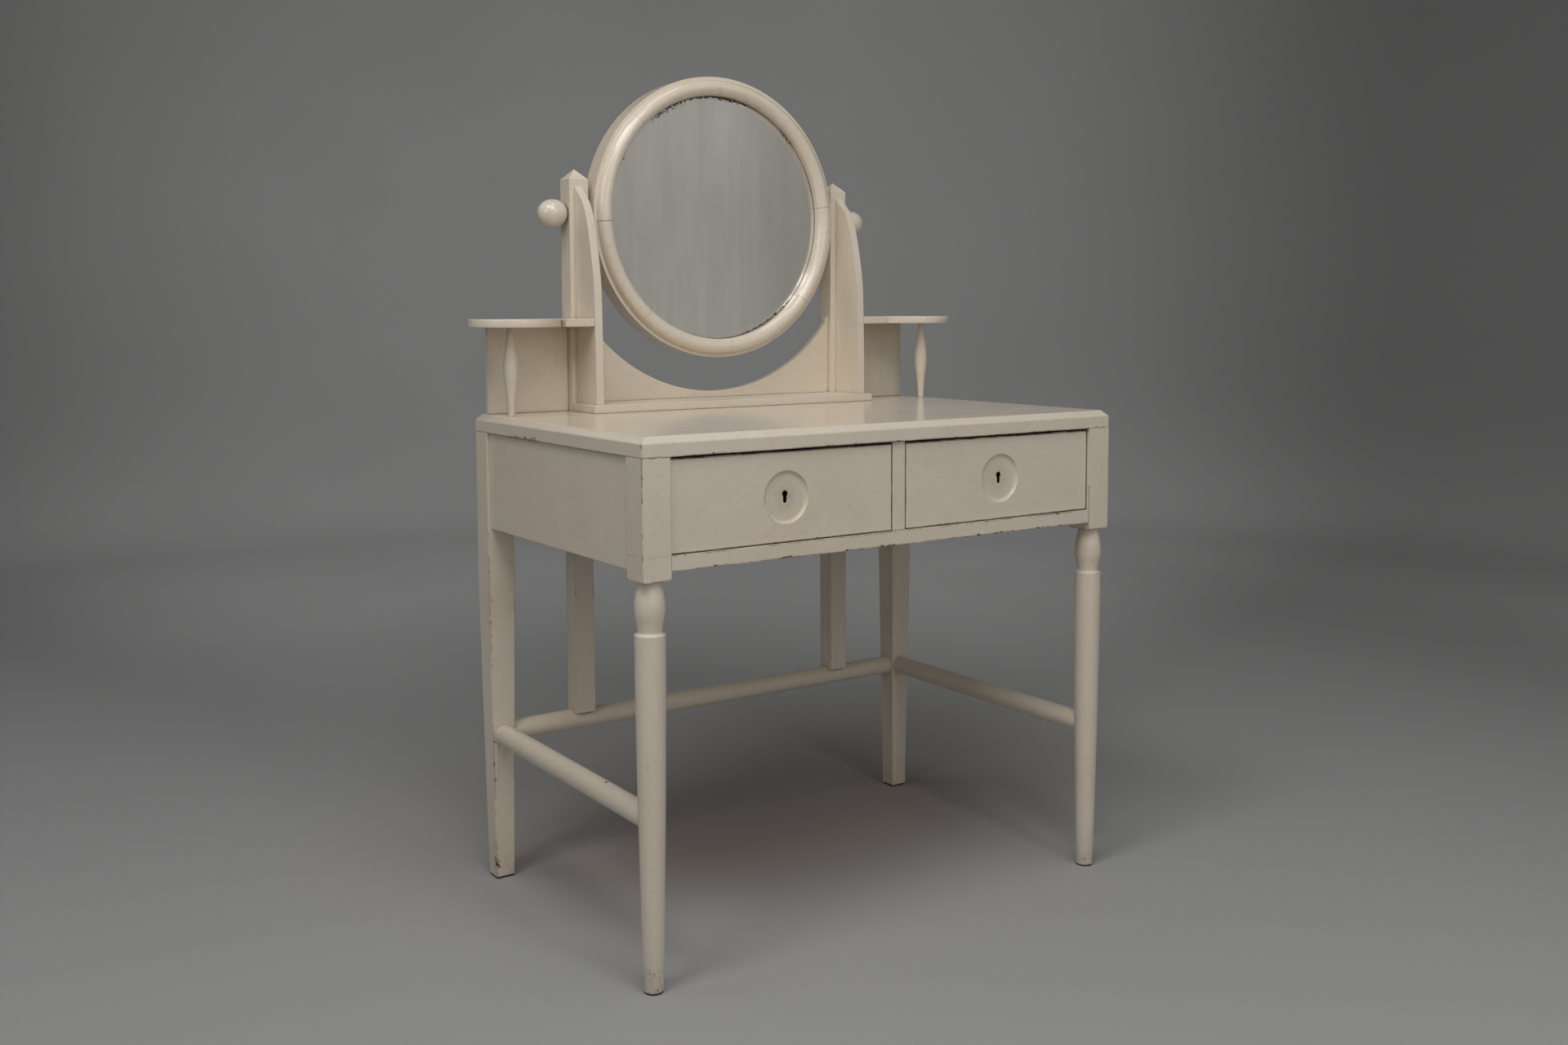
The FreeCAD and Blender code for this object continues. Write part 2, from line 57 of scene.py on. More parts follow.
def make_camera():
    fw = Vector((math.sin(CAM_YAW) * math.cos(CAM_PITCH), math.cos(CAM_YAW) * math.cos(CAM_PITCH), -math.sin(CAM_PITCH)))
    rt = Vector((math.cos(CAM_YAW), -math.sin(CAM_YAW), 0.0))
    dn = fw.cross(rt)
    c, s = math.cos(CAM_ROLL), math.sin(CAM_ROLL)
    rt, dn = rt * c + dn * s, dn * c - rt * s
    rot = Matrix((rt, -dn, -fw)).transposed()
    data = bpy.data.cameras.new("camera")
    data.sensor_fit = "HORIZONTAL"
    data.sensor_width = 36.0
    data.lens = CAM_F / IMG_W * 36.0
    data.shift_y = (CAM_ROW - IMG_H / 2) / IMG_W
    data.clip_start, data.clip_end = 0.05, 100.0
    data.dof.use_dof = False
    cam = bpy.data.objects.new("camera", data)
    cam.matrix_world = Matrix.Translation(CAM_POS) @ rot.to_4x4()
    scene.collection.objects.link(cam)
    scene.camera = cam


make_camera()
scene.view_settings.view_transform = "Standard"
scene.view_settings.look = "None"


# ------------------------------------------------------------------ node tree helper
class Tree:
    """Small helper: every method makes one shader node and returns its output socket."""

    def __init__(self, name):
        self.mat = bpy.data.materials.new(name)
        self.mat.use_nodes = True
        self.tree = self.mat.node_tree
        self.tree.nodes.clear()
        self.out = self.tree.nodes.new("ShaderNodeOutputMaterial")

    def put(self, socket, value):
        if isinstance(value, bpy.types.NodeSocket):
            self.tree.links.new(value, socket)
        elif value is not None:
            if hasattr(socket.default_value, "__len__") and not hasattr(value, "__len__"):
                value = [value] * len(socket.default_value)
            elif hasattr(socket.default_value, "__len__") and len(socket.default_value) == 4 and len(value) == 3:
                value = list(value) + [1.0]
            socket.default_value = value

    def node(self, kind, out=0, attrs=None, **inputs):
        n = self.tree.nodes.new(kind)
        for k, v in (attrs or {}).items():
            setattr(n, k, v)
        for k, v in inputs.items():
            self.put(n.inputs[k.replace("_", " ")], v)
        return n.outputs[out]

    def coord(self):
        return self.node("ShaderNodeTexCoord", "Object")

    def normal(self):
        return self.node("ShaderNodeNewGeometry", "Normal")

    def map(self, vec, scale=(1, 1, 1), loc=(0, 0, 0), rot=(0, 0, 0)):
        return self.node("ShaderNodeMapping", Vector=vec, Scale=scale, Location=loc, Rotation=rot)

    def noise(self, vec, scale, detail=3.0, rough=0.5, dist=0.0):
        return self.node("ShaderNodeTexNoise", "Fac", Vector=vec, Scale=scale, Detail=detail, Roughness=rough, Distortion=dist)

    def noise_colour(self, vec, scale, detail=2.0):
        return self.node("ShaderNodeTexNoise", "Color", Vector=vec, Scale=scale, Detail=detail)

    def voronoi(self, vec, scale, feature="F1", out="Distance", rand=1.0):
        return self.node("ShaderNodeTexVoronoi", out, {"feature": feature}, Vector=vec, Scale=scale, Randomness=rand)

    def math(self, op, a, b=None, c=None, clamp=False):
        n = self.tree.nodes.new("ShaderNodeMath")
        n.operation = op
        n.use_clamp = clamp
        for i, v in enumerate((a, b, c)):
            if v is not None:
                self.put(n.inputs[i], v)
        return n.outputs[0]

    def vmath(self, op, a, b=None, out="Vector"):
        n = self.tree.nodes.new("ShaderNodeVectorMath")
        n.operation = op
        for i, v in enumerate((a, b)):
            if v is not None:
                self.put(n.inputs[i], v)
        return n.outputs[out]

    def sep(self, vec):
        n = self.tree.nodes.new("ShaderNodeSeparateXYZ")
        self.put(n.inputs[0], vec)
        return n.outputs

    def comb(self, x, y, z):
        n = self.tree.nodes.new("ShaderNodeCombineXYZ")
        for i, v in enumerate((x, y, z)):
            self.put(n.inputs[i], v)
        return n.outputs[0]

    def step(self, x, lo, hi, a=0.0, b=1.0):
        """Smooth step of x from lo to hi, giving a to b."""
        n = self.tree.nodes.new("ShaderNodeMapRange")
        n.interpolation_type = "SMOOTHSTEP"
        n.clamp = True
        for k, v in zip(("Value", "From Min", "From Max", "To Min", "To Max"), (x, lo, hi, a, b)):
            self.put(n.inputs[k], v)
        return n.outputs[0]

    def mix(self, fac, a, b, blend="MIX"):
        n = self.tree.nodes.new("ShaderNodeMix")
        n.data_type = "RGBA"
        n.blend_type = blend
        n.clamp_factor = True
        self.put(n.inputs[0], fac)
        self.put(n.inputs[6], a)
        self.put(n.inputs[7], b)
        return n.outputs[2]

    def lerp(self, fac, a, b):
        n = self.tree.nodes.new("ShaderNodeMix")
        n.data_type = "FLOAT"
        self.put(n.inputs[0], fac)
        self.put(n.inputs[2], a)
        self.put(n.inputs[3], b)
        return n.outputs[0]

    def bump(self, height, strength, distance, normal=None):
        return self.node("ShaderNodeBump", Height=height, Strength=strength, Distance=distance, Normal=normal)

    def bevel(self, radius, samples=4):
        return self.node("ShaderNodeBevel", 0, {"samples": samples}, Radius=radius)

    def occlusion(self, distance, samples=4, local=False, inside=False):
        return self.node("ShaderNodeAmbientOcclusion", "AO", {"samples": samples, "only_local": local, "inside": inside}, Distance=distance)

    def finish(self, **inputs):
        n = self.tree.nodes.new("ShaderNodeBsdfPrincipled")
        for k, v in inputs.items():
            self.put(n.inputs[k.replace("_", " ")], v)
        self.tree.links.new(n.outputs[0], self.out.inputs["Surface"])
        return self.mat


# ------------------------------------------------------------------ painted wood
CREAM = (0.750, 0.664, 0.546)
CREAM_OLD = (0.722, 0.620, 0.482)
CREAM_PALE = (0.778, 0.704, 0.600)
UNDER = (0.50, 0.38, 0.245)
BROWN = (0.105, 0.046, 0.024)
DIRT_AND_SHADE = (0.15, 0.105, 0.068)
RING_JOINTS = {6.5: 0.55, 46.3: 0.32, 90.3: 0.46, 135.4: 0.34, 183.0: 1.0, 228.4: 0.32, 274.8: 0.34, 320.7: 0.50}   # degrees: how plainly the hairline shows


def near_line(t, p, a, b, radius):
    """1 close to the straight line from a to b, fading to 0 at the radius."""
    a, b = Vector(a), Vector(b)
    d = (b - a).normalized()
    rel = t.vmath("SUBTRACT", p, tuple(a))
    along = t.vmath("DOT_PRODUCT", rel, tuple(d), "Value")
    along = t.math("MINIMUM", t.math("MAXIMUM", along, 0.0), (b - a).length)
    foot = t.vmath("SCALE", tuple(d))
    t.put(foot.node.inputs["Scale"], along)
    dist = t.vmath("LENGTH", t.vmath("SUBTRACT", rel, foot), None, "Value")
    return t.step(dist, radius, radius * 0.35)


def paint(name, along="X", seed=0.0, rough=0.30, wear=1.0, feet=0.0, streak=1.0, ring=False, tone=1.0, brush=1.0, cracks=(), lines=(), key=None, shine=None, coat=0.0, grime_shade=1.0, gap_shade=()):
    """Old semi-gloss oil paint on wood, brushed along one axis, worn at its edges.
    cracks: (axis, level, half width, strength) hairlines; lines: (from, to, radius, amount) edges that took more
    knocks;
    key: centre of a keyhole with its scratches and painted shade inside it; shine: (low z, high z) of a glossier
    turning; coat: clear gloss on top;
    grime_shade: how much dirt and painted shade sit in the corners and creases; gap_shade: (from, to, radius, amount)
    edges darkened beside a gap, partly dirt and partly painted shade of the gap."""
    t = Tree(name)
    p = t.coord()
    xyz = t.sep(p)
    if ring:
        # unrolled round the mirror: a full turn joins up, because the angle enters as a point on a circle
        x, y, z = t.sep(t.vmath("SUBTRACT", p, (0.0, 0.253, 1.083)))
        ang = t.math("ARCTAN2", z, x)
        rad = t.math("SQRT", t.math("ADD", t.math("MULTIPLY", x, x), t.math("MULTIPLY", z, z)))
        q = t.comb(t.math("MULTIPLY", t.math("COSINE", ang), 0.35), t.math("ADD", t.math("MULTIPLY", t.math("SINE", ang), 0.35), y), rad)
        g = t.map(q, scale=(9, 9, 220), loc=(seed, seed * 1.7, seed * 0.6))
        pools = t.noise(t.map(q, scale=(4, 4, 60), loc=(seed, 0, 0)), 1.0, 2.0, 0.5)
    else:
        s = {"X": (4.5, 190, 190), "Y": (190, 4.5, 190), "Z": (190, 190, 4.5)}[along]
        s2 = {"X": (2.2, 42, 42), "Y": (42, 2.2, 42), "Z": (42, 42, 2.2)}[along]
        g = t.map(p, scale=s, loc=(seed, seed * 1.7, seed * 0.6))
        pools = t.noise(t.map(p, scale=s2, loc=(seed * 0.7, seed, seed * 1.9)), 1.0, 2.0, 0.5)
    pp = t.map(p, loc=(seed * 3.1, seed * 1.3, seed * 2.3))

    streaks = t.noise(g, 1.0, 4.0, 0.62, 0.25)
    blotch = t.noise(pp, 5.0, 3.0, 0.55, 0.4)
    cloud = t.noise(pp, 24.0, 3.0, 0.6)
    grit = t.noise(pp, 420.0, 2.0, 0.6)

    base, old, pale = [tuple(c * tone for c in k) for k in (CREAM, CREAM_OLD, CREAM_PALE)]
    col = t.mix(t.step(blotch, 0.40, 0.74, 0.0, 0.8), base, old)
    col = t.mix(t.step(cloud, 0.50, 0.80, 0.0, 0.55), col, pale)
    col = t.mix(t.step(streaks, 0.44, 0.80, 0.0, 0.30 * streak), col, old)
    col = t.mix(t.step(t.noise(pp, 110.0, 3.0, 0.65), 0.52, 0.80, 0.0, 0.14), col, DIRT_AND_SHADE)
    col = t.mix(t.step(grit, 0.60, 0.78, 0.0, 0.20), col, DIRT_AND_SHADE)

    # grime settles where pieces meet; painted shade also darkens corners, creases and gaps by their occlusion, near
    # black where they are deepest
    ao = t.occlusion(0.012, 4)
    crease_dirt_shade = t.math("MULTIPLY", t.step(ao, 0.66, 0.16), t.step(cloud, 0.30, 0.62, 0.4, 1.0))
    col = t.mix(t.math("MULTIPLY", crease_dirt_shade, 0.55 * grime_shade), col, DIRT_AND_SHADE)
    col = t.mix(t.step(ao, 0.34, 0.10, 0.0, 0.92 * grime_shade), col, (0.055, 0.022, 0.010))

    # flyspecks, scratches along the brushing and small bruises
    specks = t.voronoi(pp, 38.0)
    pick = t.sep(t.node("ShaderNodeTexVoronoi", "Color", {"feature": "F1"}, Vector=pp, Scale=38.0))
    dot = t.math("MULTIPLY", t.step(specks, 0.054, 0.024), t.step(pick[0], 0.76, 0.82))
    bruise = t.step(t.noise(pp, 66.0, 2.0, 0.5), 0.735, 0.80)
    scratch = t.math("MULTIPLY", t.step(t.noise(g, 2.3, 1.0, 0.5), 0.735, 0.775), t.step(t.noise(pp, 15.0, 2.0, 0.5), 0.56, 0.66))
    col = t.mix(t.math("MULTIPLY", dot, 0.70), col, DIRT_AND_SHADE)
    col = t.mix(t.math("MULTIPLY", bruise, 0.26), col, UNDER)
    col = t.mix(t.math("MULTIPLY", scratch, 0.07 * streak), col, UNDER)

    # worn edges: the rounded normal leaves the flat one near an edge
    edge = t.step(t.vmath("DOT_PRODUCT", t.normal(), t.bevel(0.0042, 4), "Value"), 0.995, 0.82)
    ragged = t.noise(pp, 105.0, 3.0, 0.7)
    where = t.noise(pp, 12.0, 2.0, 0.6)
    open_edge = t.step(ao, 0.42, 0.62)
    amount = t.math("MULTIPLY", t.math("MULTIPLY", edge, t.step(where, 0.46, 0.70)), open_edge)
    for a, b, radius, k in lines:
        hit = t.math("MULTIPLY", near_line(t, p, a, b, radius), t.step(where, 0.36, 0.60, 0.35 * k, k))
        amount = t.math("MAXIMUM", amount, t.math("MULTIPLY", hit, t.math("MAXIMUM", edge, 0.40)))
    if feet:
        low = t.step(xyz[2], 0.10, 0.0)
        amount = t.math("ADD", amount, t.math("MULTIPLY", low, feet * 0.30))
        col = t.mix(t.math("MULTIPLY", low, t.step(cloud, 0.35, 0.7, 0.10, 0.42)), col, (0.42, 0.36, 0.29))
        # small pits above the floor
        pits = t.step(t.math("ADD", t.noise(pp, 300.0, 3.0, 0.7), t.math("MULTIPLY", t.step(xyz[2], 0.085, 0.02), 0.21 * feet)), 0.80, 0.86)
        col = t.mix(t.math("MULTIPLY", pits, 0.85), col, (0.12, 0.085, 0.058))
    chip = t.step(t.math("ADD", t.math("MULTIPLY", amount, 0.44 * wear), ragged), 0.79, 0.84)
    rub = t.step(t.math("ADD", t.math("MULTIPLY", amount, 0.42 * wear), ragged), 0.68, 0.83)
    col = t.mix(t.math("MULTIPLY", rub, 0.42), col, UNDER)
    col = t.mix(chip, col, BROWN)

    dark = chip
    # painted shade: dark bands along the gaps beside other parts, partly dirt and partly the shade inside the gap
    for a, b, radius, k in gap_shade:
        band = t.math("MULTIPLY", near_line(t, p, a, b, radius), t.step(t.math("ADD", cloud, t.math("MULTIPLY", ragged, 0.6)), 0.60, 0.95, 0.55 * k, k))
        col = t.mix(band, col, (0.050, 0.020, 0.010))
        dark = t.math("MAXIMUM", dark, band)
    for axis, level, half, k in cracks:
        wob = t.math("MULTIPLY", t.math("SUBTRACT", t.noise(pp, 40.0, 2.0), 0.5), half * 2.0)
        d = t.math("ABSOLUTE", t.math("ADD", t.math("SUBTRACT", xyz["XYZ".index(axis)], level), wob))
        hair = t.math("MULTIPLY", t.step(d, half, half * 0.35), t.step(t.noise(pp, 30.0, 2.0), 0.34, 0.56, 0.25 * k, k))
        col = t.mix(hair, col, BROWN)
        dark = t.math("MAXIMUM", dark, hair)
    if ring:
        bead = t.math("MULTIPLY", t.step(y, -0.0252, -0.0272), t.step(rad, 0.2356, 0.2340))
        for deg, k in RING_JOINTS.items():
            a = math.radians(deg)
            # distance from the radial plane of the joint, on its own side of the centre
            d = t.math("ABSOLUTE", t.math("SUBTRACT", t.math("MULTIPLY", z, math.cos(a)), t.math("MULTIPLY", x, math.sin(a))))
            side = t.math("GREATER_THAN", t.math("ADD", t.math("MULTIPLY", x, math.cos(a)), t.math("MULTIPLY", z, math.sin(a))), 0.0)
            hair = t.math("MULTIPLY", t.math("MULTIPLY", t.step(d, 0.0007, 0.00025), side), t.step(cloud, 0.30, 0.60, 0.45 * k, k))
            hair = t.math("MULTIPLY", hair, bead)
            col = t.mix(hair, col, BROWN)
            dark = t.math("MAXIMUM", dark, hair)
    if key:
        rel = t.vmath("SUBTRACT", p, key)
        r_key = t.vmath("LENGTH", rel, None, "Value")
        rubbed = t.math("MULTIPLY", t.step(r_key, 0.022, 0.007), t.step(t.noise(pp, 150.0, 4.0, 0.7), 0.42, 0.62))
        col = t.mix(t.math("MULTIPLY", rubbed, 0.36), col, (0.30, 0.22, 0.14))
        halo = t.step(r_key, 0.036, 0.010)
        col = t.mix(t.math("MULTIPLY", halo, 0.16), col, UNDER)
        # painted shade inside the keyhole: its walls are made near black
        hole = t.math("MULTIPLY", t.step(xyz[1], key[1] + 0.0006, key[1] + 0.0014), t.step(r_key, 0.026, 0.020))
        col = t.mix(hole, col, (0.016, 0.010, 0.007))

    # sheen follows the brush, chips are dull
    r = t.math("ADD", t.step(streaks, 0.25, 0.75, rough * 0.84, rough * 1.16), t.step(blotch, 0.3, 0.7, -0.02, 0.03))
    if shine:
        r = t.math("MULTIPLY", r, t.math("SUBTRACT", 1.0, t.math("MULTIPLY", t.math("MULTIPLY", t.step(xyz[2], shine[0], shine[0] + 0.008), t.step(xyz[2], shine[1], shine[1] - 0.008)), 0.56)))
    r = t.math("ADD", r, t.math("MULTIPLY", t.math("MAXIMUM", dark, t.math("MAXIMUM", crease_dirt_shade, bruise)), 0.26), clamp=True)

    h = t.math("ADD", t.math("MULTIPLY", streaks, 0.55 * brush), t.math("MULTIPLY", pools, 0.9 * brush))
    h = t.math("ADD", h, t.math("MULTIPLY", cloud, 0.25))
    h = t.math("ADD", h, t.math("MULTIPLY", grit, 0.06))
    h = t.math("SUBTRACT", h, t.math("MULTIPLY", t.math("MAXIMUM", dark, t.math("MULTIPLY", bruise, 0.5)), 0.8))
    rounded = t.bevel(0.0016, 4)
    n = t.bump(h, 0.30, 0.0006, rounded)
    return t.finish(Base_Color=col, Roughness=r, Normal=n, IOR=1.48, Coat_Weight=coat, Coat_Roughness=0.07, Coat_Normal=t.bump(h, 0.10, 0.0006, rounded) if coat else None)


# ------------------------------------------------------------------ other materials
def bare_wood(name, along="Y", seed=0.0, tone=(0.56, 0.40, 0.245), dark=(0.36, 0.225, 0.115)):
    """Unpainted softwood: growth rings drawn out along the board, pores and a little dust."""
    t = Tree(name)
    p = t.coord()
    s = {"X": (0.7, 9, 9), "Y": (9, 0.7, 9), "Z": (9, 9, 0.7)}[along]
    f = {"X": (9, 420, 420), "Y": (420, 9, 420), "Z": (420, 420, 9)}[along]
    g = t.map(p, scale=s, loc=(seed, seed * 2.1, seed * 0.7))
    wobble = t.vmath("SCALE", t.noise_colour(g, 0.9), None)
    wobble.node.inputs["Scale"].default_value = 0.55
    w = t.vmath("ADD", g, wobble)
    axis = t.sep(w)
    cross = {"X": axis[1], "Y": axis[0], "Z": axis[0]}[along]
    other = {"X": axis[2], "Y": axis[2], "Z": axis[1]}[along]
    d = t.math("SQRT", t.math("ADD", t.math("POWER", t.math("ADD", cross, 1.9), 2.0), t.math("POWER", t.math("ADD", other, 3.1), 2.0)))
    rings = t.math("FRACT", t.math("MULTIPLY", d, 3.4))
    late = t.math("MULTIPLY", t.step(rings, 0.35, 0.92), t.step(rings, 1.0, 0.95))
    pores = t.noise(t.map(p, scale=f), 1.0, 3.0, 0.6)
    cloud = t.noise(p, 7.0, 3.0, 0.6)
    col = t.mix(t.math("MULTIPLY", late, 0.62), tone, dark)
    col = t.mix(t.step(pores, 0.50, 0.75, 0.0, 0.32), col, dark)
    col = t.mix(t.step(cloud, 0.45, 0.75, 0.0, 0.35), col, (0.43, 0.32, 0.21))
    # painted shade: the wood is darkened in corners and recesses by its occlusion
    ao = t.occlusion(0.03, 4)
    col = t.mix(t.step(ao, 0.75, 0.2, 0.0, 0.5), col, (0.13, 0.085, 0.05))
    r = t.step(pores, 0.3, 0.7, 0.55, 0.72)
    h = t.math("ADD", t.math("MULTIPLY", pores, 0.6), t.math("MULTIPLY", late, 0.25))
    return t.finish(Base_Color=col, Roughness=r, Normal=t.bump(h, 0.35, 0.0005, t.bevel(0.001, 4)), IOR=1.45)


def iron(name):
    t = Tree(name)
    p = t.coord()
    rust_n = t.noise(p, 90.0, 5.0, 0.65, 0.3)
    rust = t.step(rust_n, 0.50, 0.66)
    fine = t.noise(p, 900.0, 2.0, 0.5)
    col = t.mix(rust, (0.20, 0.195, 0.19), (0.14, 0.062, 0.030))
    col = t.mix(t.step(fine, 0.45, 0.75, 0.0, 0.35), col, (0.32, 0.31, 0.30))
    metal = t.math("SUBTRACT", 0.95, t.math("MULTIPLY", rust, 0.85))
    r = t.math("ADD", t.step(fine, 0.3, 0.7, 0.34, 0.48), t.math("MULTIPLY", rust, 0.35), clamp=True)
    return t.finish(Base_Color=col, Metallic=metal, Roughness=r, Normal=t.bump(t.math("ADD", fine, rust_n), 0.25, 0.0003, t.bevel(0.0005, 4)))


def brass(name):
    t = Tree(name)
    p = t.coord()
    tarnish_n = t.noise(p, 70.0, 4.0, 0.6, 0.4)
    tarnish = t.step(tarnish_n, 0.40, 0.68)
    fine = t.noise(t.map(p, scale=(200, 1500, 1500)), 1.0, 2.0)
    col = t.mix(tarnish, (0.60, 0.43, 0.17), (0.24, 0.155, 0.065))
    r = t.math("ADD", t.step(fine, 0.3, 0.7, 0.22, 0.34), t.math("MULTIPLY", tarnish, 0.25))
    return t.finish(Base_Color=col, Metallic=1.0, Roughness=r, Normal=t.bump(fine, 0.12, 0.0002, t.bevel(0.0004, 4)))


def felt(name):
    t = Tree(name)
    p = t.coord()
    fibre = t.noise(t.map(p, scale=(900, 900, 900)), 1.0, 4.0, 0.7, 1.2)
    cloud = t.noise(p, 160.0, 3.0, 0.6)
    col = t.mix(t.step(fibre, 0.35, 0.7), (0.030, 0.030, 0.028), (0.095, 0.085, 0.072))
    col = t.mix(t.step(cloud, 0.5, 0.8, 0.0, 0.5), col, (0.15, 0.13, 0.11))
    return t.finish(Base_Color=col, Roughness=t.step(fibre, 0.3, 0.7, 0.85, 0.97), Normal=t.bump(fibre, 0.8, 0.0006))


FOXING = (   # middle and half width in degrees, inner radius, amount
    (93.0, 38.0, 0.2000, 0.38), (118.0, 16.0, 0.1880, 0.35), (84.0, 10.0, 0.1960, 0.41), (-60.0, 26.0, 0.2005, 0.38), (-58.0, 8.0, 0.1970, 0.38), (45.0, 7.0, 0.1950, 0.33), (152.5, 4.0, 0.1900, 0.34), (-104.0, 9.0, 0.2020, 0.28))


def old_mirror(name):
    """Old silvered glass: grey-green tint, faint cleaning haze, black foxing creeping in from the rim."""
    t = Tree(name)
    p = t.coord()
    x, y, z = t.sep(t.vmath("SUBTRACT", p, (0.0, 0.2334, 1.083)))
    rad = t.math("SQRT", t.math("ADD", t.math("MULTIPLY", x, x), t.math("MULTIPLY", z, z)))
    veil = t.noise(t.map(p, scale=(46, 9, 5.0), rot=(0, 0.12, 0)), 1.0, 4.0, 0.62, 0.8)
    wipe = t.noise(t.map(p, scale=(150, 20, 14), rot=(0, 0.5, 0)), 1.0, 3.0, 0.6)
    col = t.mix(t.step(veil, 0.30, 0.72), (0.785, 0.765, 0.708), (0.862, 0.842, 0.786))
    # the mirror is made darker towards the right, except near the rim
    col = t.mix(t.math("MULTIPLY", t.step(x, 0.0, 0.16, 0.0, 0.66), t.step(rad, 0.203, 0.195)), col, (0.60, 0.585, 0.535))
    # foxing: specks thickening towards the rim, in a few places where damp got behind the silver
    spots = t.noise(p, 320.0, 4.0, 0.72)
    zone = t.noise(p, 17.0, 2.0, 0.5)
    rim = t.step(rad, 0.182, 0.209)
    amount = t.math("MULTIPLY", rim, t.step(zone, 0.52, 0.72, 0.0, 0.20))
    for deg, half, r0, k in FOXING:
        a, w = math.radians(deg), math.radians(half)
        facing = t.math("DIVIDE", t.math("ADD", t.math("MULTIPLY", x, math.cos(a)), t.math("MULTIPLY", z, math.sin(a))), rad)
        near = t.math("MULTIPLY", t.step(facing, math.cos(w), math.cos(w * 0.4)), t.step(rad, r0, 0.2068))
        amount = t.math("MAXIMUM", amount, t.math("MULTIPLY", near, k))
    fox = t.step(t.math("ADD", spots, amount), 0.80, 0.86)
    halo = t.step(t.math("ADD", spots, amount), 0.70, 0.84)
    col = t.mix(t.math("MULTIPLY", halo, 0.42), col, (0.47, 0.42, 0.34))
    col = t.mix(fox, col, (0.022, 0.018, 0.014))
    # a thin dark line round the sight edge: painted shade of the gap between glass and ring, and silver gone dark there
    line = t.math("MULTIPLY", t.step(rad, 0.2062, 0.2072), t.step(zone, 0.30, 0.62, 0.60, 0.97))
    col = t.mix(line, col, (0.07, 0.055, 0.04))
    metal = t.math("SUBTRACT", t.step(veil, 0.3, 0.72, 0.965, 0.94), t.math("MULTIPLY", fox, 0.9))
    r = t.math("ADD", t.step(wipe, 0.35, 0.75, 0.015, 0.05), t.math("MULTIPLY", fox, 0.35))
    n = t.bump(t.noise(p, 5.0, 1.0), 0.03, 0.0008)
    return t.finish(Base_Color=col, Metallic=metal, Roughness=r, Normal=n)


